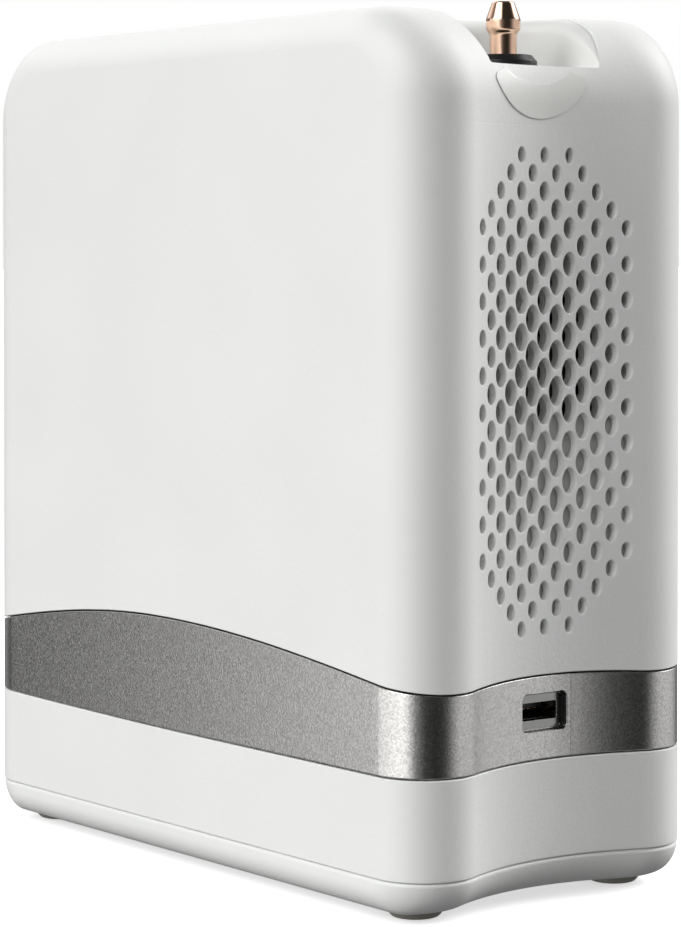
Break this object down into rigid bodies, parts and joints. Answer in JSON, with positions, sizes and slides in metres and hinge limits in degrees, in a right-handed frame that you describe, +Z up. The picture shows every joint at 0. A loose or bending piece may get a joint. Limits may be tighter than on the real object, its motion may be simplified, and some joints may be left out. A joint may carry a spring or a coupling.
{
  "type": "portable oxygen concentrator",
  "caption": "Upright portable oxygen concentrator: white shells with a silver band, hollow narrow ends, oval-hole grille, barbed outlet in a top pocket, and round rubber feet.",
  "frame": {"origin": "on the floor under the middle of the body", "axes": "+Z up, +X towards the narrow end with the grille and the oxygen outlet, -Y towards the wide face seen in the picture"},
  "size_m": [0.2274, 0.1112, 0.2629],
  "materials": {
    "white_abs": "fine moulded texture",
    "silver_paint": "satin metallic paint",
    "grey_rubber": "matt",
    "copper_plate": "polished copper plating",
    "black_plastic": "satin",
    "steel": "satin",
    "aluminium": "machined",
    "circuit_board": "solder mask",
    "filter_foam": "open foam",
    "display_glass": "gloss",
    "silicone_hose": "satin"
  },
  "bodies": {
    "housing": {"upper_housing": "white_abs", "grille_screen": "white_abs", "lower_housing": "white_abs", "base_cover": "white_abs", "trim_band_near": "silver_paint", "trim_band_far": "silver_paint", "foot_1": "grey_rubber", "foot_2": "grey_rubber", "foot_3": "grey_rubber", "foot_4": "grey_rubber", "base_screw_1": "steel", "base_screw_2": "steel", "base_screw_3": "steel", "base_screw_4": "steel", "usb_shell": "steel", "usb_tongue": "black_plastic", "outlet_collar": "black_plastic", "outlet_barb": "copper_plate", "outlet_nut": "steel", "chassis_deck": "aluminium", "battery_pack": "black_plastic", "power_inlet": "black_plastic", "isolator_1": "grey_rubber", "isolator_2": "grey_rubber", "isolator_3": "grey_rubber", "isolator_4": "grey_rubber", "crankcase": "aluminium", "compressor_motor": "steel", "cylinder_near": "aluminium", "cylinder_far": "aluminium", "sieve_bed_near": "aluminium", "sieve_bed_far": "aluminium", "valve_manifold": "aluminium", "solenoid_valve_near": "black_plastic", "solenoid_valve_far": "black_plastic", "product_tank": "aluminium", "exhaust_muffler": "black_plastic", "supply_hose": "silicone_hose", "product_hose": "silicone_hose", "exhaust_hose": "silicone_hose", "outlet_hose": "silicone_hose", "fan_frame": "black_plastic", "fan_bracket": "aluminium", "main_board": "circuit_board", "control_board": "circuit_board", "control_panel": "black_plastic", "display_window": "display_glass", "display_module": "black_plastic", "inlet_filter": "filter_foam"},
    "power_key": {"power_button": "silver_paint"},
    "flow_down_key": {"flow_down_button": "silver_paint"},
    "flow_up_key": {"flow_up_button": "silver_paint"},
    "alarm_key": {"alarm_button": "silver_paint"},
    "fan": {"fan_rotor": "black_plastic"},
    "motor_shaft": {"motor_cooling_wheel": "black_plastic"},
    "filter_cover": {"intake_cover": "white_abs"}
  },
  "joints": [
    {"name": "power_press", "type": "slide", "parent": "housing", "child": "power_key", "axis": [0, 0, -1], "range_m": [0, 0.0012], "stiffness_N_per_m": 1500, "springref_m": -0.0003},
    {"name": "flow_down_press", "type": "slide", "parent": "housing", "child": "flow_down_key", "axis": [0, 0, -1], "range_m": [0, 0.0012], "stiffness_N_per_m": 1500, "springref_m": -0.0003},
    {"name": "flow_up_press", "type": "slide", "parent": "housing", "child": "flow_up_key", "axis": [0, 0, -1], "range_m": [0, 0.0012], "stiffness_N_per_m": 1500, "springref_m": -0.0003},
    {"name": "alarm_press", "type": "slide", "parent": "housing", "child": "alarm_key", "axis": [0, 0, -1], "range_m": [0, 0.0012], "stiffness_N_per_m": 1500, "springref_m": -0.0003},
    {"name": "fan_spin", "type": "hinge", "parent": "housing", "child": "fan", "pos_m": [0.0879, 0, 0.1489], "axis": [1, 0, 0], "continuous": true},
    {"name": "motor_spin", "type": "hinge", "parent": "housing", "child": "motor_shaft", "pos_m": [-0.0243, 0, 0.0786], "axis": [1, 0, 0], "continuous": true},
    {"name": "filter_cover_pull", "type": "slide", "parent": "housing", "child": "filter_cover", "axis": [-1, 0, 0], "range_m": [0, 0.02]}
  ]
}
